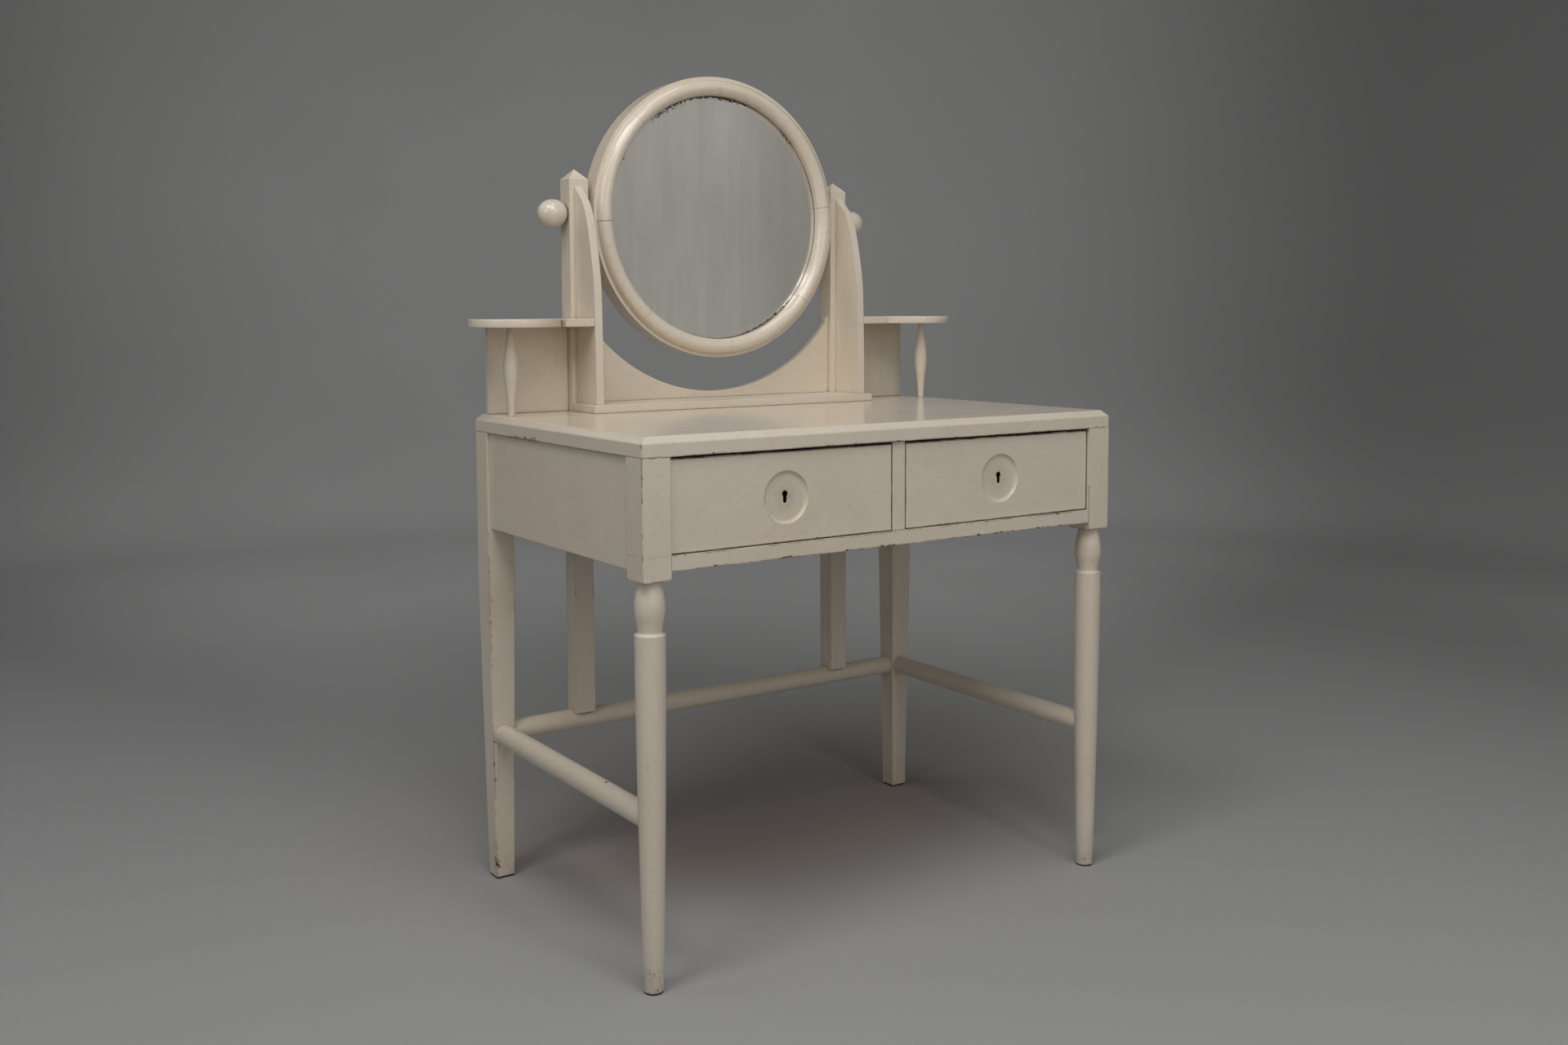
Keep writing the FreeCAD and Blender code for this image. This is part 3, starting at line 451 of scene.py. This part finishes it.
LEG_TOP = (("Z", 0.7317, 0.0005, 0.25),)
PAINT = {
    "table_top": dict(along="X", seed=1.3, rough=0.15, grime_shade=0.3, wear=1.0, streak=0.5, brush=0.32, lines=(
        ((-0.432, -0.277, 0.745), (-0.423, -0.268, 0.760), 0.005, 1.5), ((-0.432, 0.05, 0.732), (-0.432, 0.14, 0.732), 0.008, 1.4), ((-0.43, -0.277, 0.7505), (0.43, -0.277, 0.7505), 0.004, 0.55),
        ((-0.42, -0.277, 0.732), (0.42, -0.277, 0.732), 0.005, 1.1)), gap_shade=(((-0.387, -0.277, 0.732), (0.387, -0.277, 0.732), 0.0016, 0.5),)),
    "front_leg_left": dict(along="Z", seed=2.1, wear=1.2, grime_shade=0.4, feet=1.0, coat=0.22, cracks=LEG_TOP + (("Z", 0.6003, 0.0004, 0.40),), shine=(0.499, 0.568), lines=(
        ((-0.432, -0.277, 0.567), (-0.432, -0.277, 0.630), 0.0045, 1.9), ((-0.432, -0.277, 0.630), (-0.432, -0.277, 0.732), 0.0034, 1.0),
        ((-0.432, -0.277, 0.567), (-0.388, -0.277, 0.567), 0.006, 1.5), ((-0.432, -0.277, 0.567), (-0.432, -0.233, 0.567), 0.006, 1.5))),
    "front_leg_right": dict(along="Z", seed=3.7, wear=1.1, grime_shade=0.4, feet=0.8, coat=0.22, cracks=LEG_TOP, shine=(0.499, 0.568), lines=(
        ((0.388, -0.277, 0.567), (0.432, -0.277, 0.567), 0.006, 1.3), ((0.432, -0.277, 0.567), (0.432, -0.277, 0.620), 0.006, 1.2))),
    "back_leg_left": dict(along="Z", seed=4.9, wear=1.1, grime_shade=0.6, feet=0.9, cracks=LEG_TOP, lines=(((-0.425, 0.241, 0.02), (-0.432, 0.233, 0.57), 0.008, 1.0), ((-0.432, 0.277, 0.10), (-0.432, 0.277, 0.70), 0.008, 0.8))),
    "back_leg_right": dict(along="Z", seed=5.3, wear=1.0, feet=0.9, cracks=LEG_TOP),
    "side_apron_left": dict(along="Y", seed=6.1, wear=0.8, grime_shade=0.3, streak=0.25, brush=0.2, lines=(((-0.427, 0.02, 0.7318), (-0.427, 0.16, 0.7318), 0.004, 1.3),)),
    "side_apron_right": dict(along="Y", seed=7.7, wear=0.8, grime_shade=0.3, streak=0.5, brush=0.6),
    "side_stretcher_left": dict(along="Y", seed=8.2, wear=1.0, lines=(((-0.405, -0.240, 0.2560), (-0.405, 0.235, 0.2560), 0.014, 1.05),)),
    "side_stretcher_right": dict(along="Y", seed=9.4, wear=1.0, lines=(((0.408, -0.240, 0.2565), (0.408, 0.235, 0.2565), 0.010, 0.8),)),
    "back_stretcher": dict(along="X", seed=10.6, wear=1.0, lines=(((-0.39, 0.252, 0.2565), (0.39, 0.252, 0.2565), 0.009, 0.7),)),
    "back_apron": dict(along="X", seed=11.9, wear=0.8),
    "front_rail": dict(along="X", seed=12.2, wear=1.2, cracks=(("X", -0.3878, 0.0004, 0.55), ("X", 0.3878, 0.0004, 0.55)), lines=(((-0.388, -0.277, 0.579), (0.388, -0.277, 0.579), 0.005, 1.25), ((-0.388, -0.277, 0.600), (0.388, -0.277, 0.600), 0.004, 0.8)), gap_shade=(((-0.388, -0.277, 0.600), (0.388, -0.277, 0.600), 0.0012, 0.35),)),
    "drawer_divider": dict(along="Z", seed=13.8, wear=1.2, gap_shade=(((-0.012, -0.277, 0.601), (-0.012, -0.277, 0.731), 0.0018, 0.6), ((0.012, -0.277, 0.601), (0.012, -0.277, 0.731), 0.0014, 0.4))),
    "drawer_front_left": dict(along="X", seed=14.4, wear=1.0, streak=0.4, brush=0.55, key=(-0.200, -0.268, 0.664), lines=(
        ((-0.387, -0.272, 0.601), (-0.013, -0.272, 0.601), 0.004, 1.0), ((-0.387, -0.272, 0.7293), (-0.013, -0.272, 0.7293), 0.004, 1.1), ((-0.013, -0.272, 0.601), (-0.013, -0.272, 0.729), 0.004, 1.2)), gap_shade=(
        ((-0.387, -0.272, 0.7293), (-0.013, -0.272, 0.7293), 0.0030, 0.95), ((-0.013, -0.272, 0.601), (-0.013, -0.272, 0.729), 0.0024, 0.9), ((-0.387, -0.272, 0.601), (-0.013, -0.272, 0.601), 0.0018, 0.7), ((-0.387, -0.272, 0.601), (-0.387, -0.272, 0.729), 0.0014, 0.4))),
    "drawer_front_right": dict(along="X", seed=15.1, wear=1.0, streak=0.4, brush=0.55, key=(0.200, -0.268, 0.664), lines=(
        ((0.387, -0.272, 0.601), (0.013, -0.272, 0.601), 0.004, 1.0), ((0.387, -0.272, 0.7293), (0.013, -0.272, 0.7293), 0.004, 1.1), ((0.387, -0.272, 0.601), (0.387, -0.272, 0.729), 0.004, 1.2)), gap_shade=(
        ((0.387, -0.272, 0.7293), (0.013, -0.272, 0.7293), 0.0030, 0.95), ((0.387, -0.272, 0.601), (0.387, -0.272, 0.729), 0.0024, 0.9), ((0.387, -0.272, 0.601), (0.013, -0.272, 0.601), 0.0018, 0.7), ((0.013, -0.272, 0.601), (0.013, -0.272, 0.729), 0.0014, 0.4))),
    "mirror_post_left": dict(along="Z", seed=16.7, wear=0.7, grime_shade=0.55),
    "mirror_post_right": dict(along="Z", seed=17.2, wear=0.7, grime_shade=0.55),
    "bracket_left": dict(along="Z", seed=18.9, wear=0.3, grime_shade=0.55),
    "bracket_right": dict(along="Z", seed=19.5, wear=0.3, grime_shade=0.55),
    "mirror_plinth": dict(along="X", seed=20.3, wear=0.7, grime_shade=0.55),
    "arched_panel": dict(along="X", seed=21.6, wear=0.5, grime_shade=0.55),
    "shelf_left": dict(along="X", seed=22.8, wear=0.6, rough=0.22, brush=0.5),
    "shelf_right": dict(along="X", seed=23.4, wear=0.6, rough=0.22, brush=0.5),
    "shelf_back_left": dict(along="Z", seed=24.1, wear=0.6, grime_shade=0.55),
    # painted shade: the right shelf back and the left spindle are made darker for the shade their shelves cast on them
    "shelf_back_right": dict(along="Z", seed=25.6, wear=0.6, grime_shade=0.55, tone=0.88),
    "spindle_left": dict(along="Z", seed=26.3, wear=0.7, rough=0.26, tone=0.92),
    "spindle_right": dict(along="Z", seed=27.9, wear=0.7, rough=0.26),
    "ball_knob_left": dict(along="X", seed=28.5, wear=0.5, rough=0.18, streak=0.6, brush=0.4, coat=0.6),
    "ball_knob_right": dict(along="X", seed=29.2, wear=0.5, rough=0.18, streak=0.6, brush=0.4, coat=0.6),
    # painted light: the ring's paint is made a little lighter for the light and sheen it catches
    "mirror_ring": dict(ring=True, seed=30.8, wear=0.6, tone=1.04, rough=0.26, streak=0.4, brush=0.22, coat=0.85, grime_shade=0.25),
}
BARE_ALONG = {
    "drawer_runner_left": "Y", "drawer_runner_right": "Y", "drawer_runner_centre": "Y", "glue_blocks": "X", "mirror_backboard": "Z",
    "drawer_inner_side_left": "Y", "drawer_inner_side_right": "Y", "drawer_outer_side_left": "Y", "drawer_outer_side_right": "Y",
    "drawer_back_left": "X", "drawer_back_right": "X", "drawer_bottom_left": "X", "drawer_bottom_right": "X",
}


# edges eased by the brush and by use: node -> width in metres; the second group has small holes, which the limit would stop
EASED = {n: 0.0012 for n in (
    "arched_panel", "shelf_left", "shelf_right", "shelf_back_left", "shelf_back_right", "mirror_plinth", "side_apron_left", "side_apron_right", "drawer_divider",
    "drawer_back_left", "drawer_back_right", "drawer_bottom_left", "drawer_bottom_right", "drawer_inner_side_left", "drawer_inner_side_right",
    "drawer_outer_side_left", "drawer_outer_side_right", "drawer_runner_left", "drawer_runner_right", "drawer_runner_centre", "glue_blocks")}
EASED["front_rail"] = 0.0006
EASED_FREE = {"table_top": 0.0013, "back_leg_left": 0.0015, "back_leg_right": 0.0015}


def ease(obj, width, clamp):
    weld = obj.modifiers.new("weld", "WELD")
    weld.merge_threshold = 1e-5
    flat = obj.modifiers.new("flat", "DECIMATE")
    flat.decimate_type = "DISSOLVE"
    flat.angle_limit = math.radians(0.5)
    bev = obj.modifiers.new("ease", "BEVEL")
    bev.width = width
    bev.segments = 3
    bev.limit_method = "ANGLE"
    bev.angle_limit = math.radians(38)
    bev.use_clamp_overlap = clamp
    bev.harden_normals = True
    bev.miter_outer = "MITER_ARC"


for n, w in EASED.items():
    ease(nodes[n], w, True)
for n, w in EASED_FREE.items():
    ease(nodes[n], w, False)


def slot_of(obj):
    return obj.data.materials[0].name.split(".")[0]


def dress(obj, mat):
    obj.data.materials.clear()
    obj.data.materials.append(mat)


MAT_IRON, MAT_BRASS, MAT_FELT, MAT_GLASS = iron("old_iron"), brass("aged_brass"), felt("felt_pad"), old_mirror("old_silvered_glass")
for i, (name, obj) in enumerate(sorted(nodes.items())):
    slot = slot_of(obj)
    if name in PAINT:
        dress(obj, paint("paint_" + name, **PAINT[name]))
    elif slot == "bare_wood":
        dress(obj, bare_wood("wood_" + name, BARE_ALONG.get(name, "Y"), seed=1.7 * i))
    elif slot == "iron":
        dress(obj, MAT_IRON)
    elif slot == "brass":
        dress(obj, MAT_BRASS)
    elif slot == "foot_pad":
        dress(obj, MAT_FELT)
    elif slot == "mirror_glass":
        dress(obj, MAT_GLASS)


# ------------------------------------------------------------------ stage
def stage_material():
    t = Tree("studio_paper")
    p = t.coord()
    x, y, z = t.sep(p)
    grain = t.noise(p, 300.0, 3.0, 0.6)
    cloud = t.noise(p, 0.9, 3.0, 0.5)
    rad = t.math("SQRT", t.math("ADD", t.math("MULTIPLY", x, x), t.math("MULTIPLY", y, y)))
    flat_dir = t.vmath("NORMALIZE", t.comb(x, y, 0.0))
    back = t.vmath("DOT_PRODUCT", flat_dir, (math.sin(0.44), math.cos(0.44), 0.0), "Value")
    front = t.vmath("DOT_PRODUCT", flat_dir, (0.56, -0.83, 0.0), "Value")
    # painted light on the backdrop: the wall is made much lighter behind the table and to the front right, where the
    # mirror shows it, and the floor lighter further out, most of all behind
    wall = t.mix(t.step(back, 0.74, 1.0), (0.355, 0.355, 0.355), (0.82, 0.82, 0.82))
    wall = t.mix(t.step(front, 0.70, 0.92), wall, (0.84, 0.83, 0.80))
    ground = t.mix(t.step(rad, 0.9, 3.4), (0.40, 0.40, 0.40), t.mix(t.step(back, 0.70, 0.94), (0.49, 0.49, 0.49), (0.94, 0.94, 0.94)))
    # painted shade on the floor: darker to the right, and a warm painted shadow under and behind the table
    right = t.vmath("DOT_PRODUCT", p, (0.827, -0.562, 0.0), "Value")
    ground = t.mix(t.math("MULTIPLY", t.step(right, 0.9, 2.2, 0.0, 0.6), t.step(rad, 3.4, 2.2)), ground, (0.25, 0.25, 0.25))
    shadow_ellipse = t.vmath("LENGTH", t.comb(t.math("DIVIDE", t.math("SUBTRACT", x, 0.10), 0.65), t.math("DIVIDE", t.math("SUBTRACT", y, 0.16), 0.34), 0.0), None, "Value")
    ground = t.mix(t.step(shadow_ellipse, 1.0, 0.45), ground, (0.345, 0.324, 0.310))
    wide_shadow_ellipse = t.vmath("LENGTH", t.comb(t.math("DIVIDE", t.math("SUBTRACT", x, 0.12), 0.95), t.math("DIVIDE", t.math("SUBTRACT", y, 0.42), 0.62), 0.0), None, "Value")
    ground = t.mix(t.step(wide_shadow_ellipse, 1.0, 0.55), ground, (1.025, 0.985, 0.955), "MULTIPLY")
    col = t.mix(t.step(rad, 4.2, 5.1), ground, wall)
    col = t.mix(t.step(cloud, 0.3, 0.7, 0.0, 0.10), col, (0.36, 0.36, 0.36))
    col = t.mix(t.step(grain, 0.3, 0.7, 0.0, 0.06), col, (0.32, 0.32, 0.32))
    return t.finish(Base_Color=col, Roughness=t.step(grain, 0.3, 0.7, 0.80, 0.92), Normal=t.bump(grain, 0.15, 0.0006), IOR=1.3)


def make_stage():
    """A seamless round cyclorama: level floor, coved up into a wall all round."""
    R, COVE, H, SEG = 5.2, 1.3, 4.6, 128
    prof = [(0.35 * i, 0.0) for i in range(1, 11)]
    prof += [(R - COVE + COVE * math.sin(a), COVE - COVE * math.cos(a)) for a in [math.pi / 2 * i / 16 for i in range(17)]]
    prof += [(R, COVE + (H - COVE) * i / 6) for i in range(1, 7)]
    bm = bmesh.new()
    centre = bm.verts.new((0, 0, 0))
    rings = [[bm.verts.new((r * math.cos(2 * math.pi * k / SEG), r * math.sin(2 * math.pi * k / SEG), z)) for k in range(SEG)] for r, z in prof]
    for k in range(SEG):
        bm.faces.new((centre, rings[0][k], rings[0][(k + 1) % SEG]))
    for a, b in zip(rings, rings[1:]):
        for k in range(SEG):
            bm.faces.new((a[k], b[k], b[(k + 1) % SEG], a[(k + 1) % SEG]))
    for f in bm.faces:
        f.smooth = True
    me = bpy.data.meshes.new("studio_floor")
    bm.to_mesh(me)
    bm.free()
    obj = bpy.data.objects.new("studio_floor", me)
    scene.collection.objects.link(obj)
    me.materials.append(stage_material())


make_stage()


# ------------------------------------------------------------------ light
def area(name, pos, target, w, h, watts, colour=(1, 1, 1), glossy=True):
    data = bpy.data.lights.new(name, "AREA")
    data.shape = "RECTANGLE"
    data.size, data.size_y = w, h
    data.energy = watts
    data.color = colour
    obj = bpy.data.objects.new(name, data)
    obj.location = pos
    obj.rotation_euler = (Vector(target) - Vector(pos)).to_track_quat("-Z", "Y").to_euler()
    obj.visible_camera = False
    obj.visible_glossy = glossy
    scene.collection.objects.link(obj)
    return obj


CENTRE = Vector((0.0, 0.0, 0.7))


def lamp(name, az, el, dist, size, watts, colour=(1, 1, 1), glossy=True):
    """Softbox aimed at the middle of the table: az 0 is straight in front, negative to the left."""
    a, e = math.radians(az), math.radians(el)
    area(name, CENTRE + dist * Vector((math.cos(e) * math.sin(a), -math.cos(e) * math.cos(a), math.sin(e))), CENTRE, size, size, watts, colour, glossy)


lamp("left_box", -66, 38, 3.2, 0.9, 3.5)
lamp("left_high", -66, 56, 3.2, 0.9, 17.0)
lamp("left_low", -75, 22, 3.2, 1.2, 9.0)
lamp("front_left", -28, 50, 2.6, 1.2, 19.5)
lamp("front_low", -22, 12, 3.2, 1.6, 3.5)
lamp("overhead", -10, 80, 3.0, 1.0, 7.0)
lamp("rim", -120, 42, 3.2, 1.4, 5.5)
area("front_strip", (0.06, -3.0, 2.3), (0.0, 0.0, 0.75), 0.5, 2.2, 11.5)
area("wall_wash", (1.1, -2.4, 3.5), (2.9, -4.3, 1.3), 1.5, 1.5, 33.0, glossy=False)

world = bpy.data.worlds.new("studio")
scene.world = world
world.use_nodes = True
bg = world.node_tree.nodes["Background"]
bg.inputs["Color"].default_value = (1.0, 1.0, 1.0, 1.0)
bg.inputs["Strength"].default_value = 0.02

# ------------------------------------------------------------------ hand over
bpy.context.view_layer.update()
